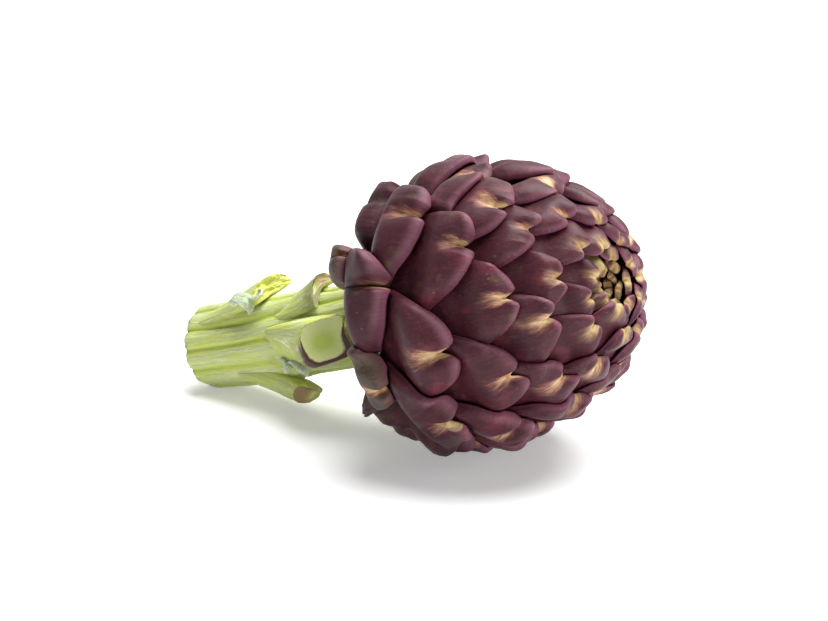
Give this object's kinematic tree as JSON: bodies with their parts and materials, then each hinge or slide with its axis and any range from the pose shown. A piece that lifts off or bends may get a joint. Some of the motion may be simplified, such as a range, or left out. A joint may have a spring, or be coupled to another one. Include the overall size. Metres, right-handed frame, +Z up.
{
  "type": "artichoke",
  "caption": "Purple globe artichoke as picked, lying on its side: an egg-shaped bud of overlapping heart-tipped bracts in a spiral, on a thick ribbed green stem with cut leaf stalks.",
  "frame": {"origin": "on the surface that the artichoke lies on, under the middle of its bounding box", "axes": "+X from the stem's cut end towards the tip of the bud, +Z up from the surface, and -Y the side that shows the large cut leaf stalk"},
  "size_m": [0.1805, 0.1041, 0.1042],
  "materials": {
    "bract": "semi-matt waxy plant skin, wine purple with a pale bloom and a yellow patch at each tip",
    "bract_low": "semi-matt waxy plant skin, purple mottled with olive green",
    "heart": "semi-matt plant skin, yellow green with purple edges",
    "stem": "matt, ribbed, light green with a whitish down",
    "stalk": "matt green skin with moist yellow-green cut faces",
    "leaflet": "matt, woolly, pale grey green"
  },
  "bodies": {
    "root": {"bud_heart": "heart", "stem": "stem", "bract_01": "bract_low", "bract_02": "bract_low", "bract_03": "bract_low", "bract_04": "bract_low", "bract_05": "bract_low", "bract_06": "bract_low", "bract_07": "bract_low", "bract_08": "bract_low", "bract_09": "bract_low", "bract_10": "bract_low", "bract_11": "bract_low", "bract_12": "bract_low", "bract_13": "bract_low", "bract_14": "bract", "bract_15": "bract", "bract_16": "bract", "bract_17": "bract", "bract_18": "bract", "bract_19": "bract", "bract_20": "bract", "bract_21": "bract", "bract_22": "bract", "bract_23": "bract", "bract_24": "bract", "bract_25": "bract", "bract_26": "bract", "bract_27": "bract", "bract_28": "bract", "bract_29": "bract", "bract_30": "bract", "bract_31": "bract", "bract_32": "bract", "bract_33": "bract", "bract_34": "bract", "bract_35": "bract", "bract_36": "bract", "bract_37": "bract", "bract_38": "bract", "bract_39": "bract", "bract_40": "bract", "bract_41": "bract", "bract_42": "bract", "bract_43": "bract", "bract_44": "bract", "bract_45": "bract", "bract_46": "bract", "bract_47": "bract", "bract_48": "bract", "bract_49": "bract", "bract_50": "bract", "bract_51": "bract", "bract_52": "bract", "stalk_top": "stalk", "stalk_back": "stalk", "stalk_front": "stalk", "stalk_lower": "stalk", "leaflet_top": "leaflet", "leaflet_front": "leaflet"}
  },
  "joints": []
}
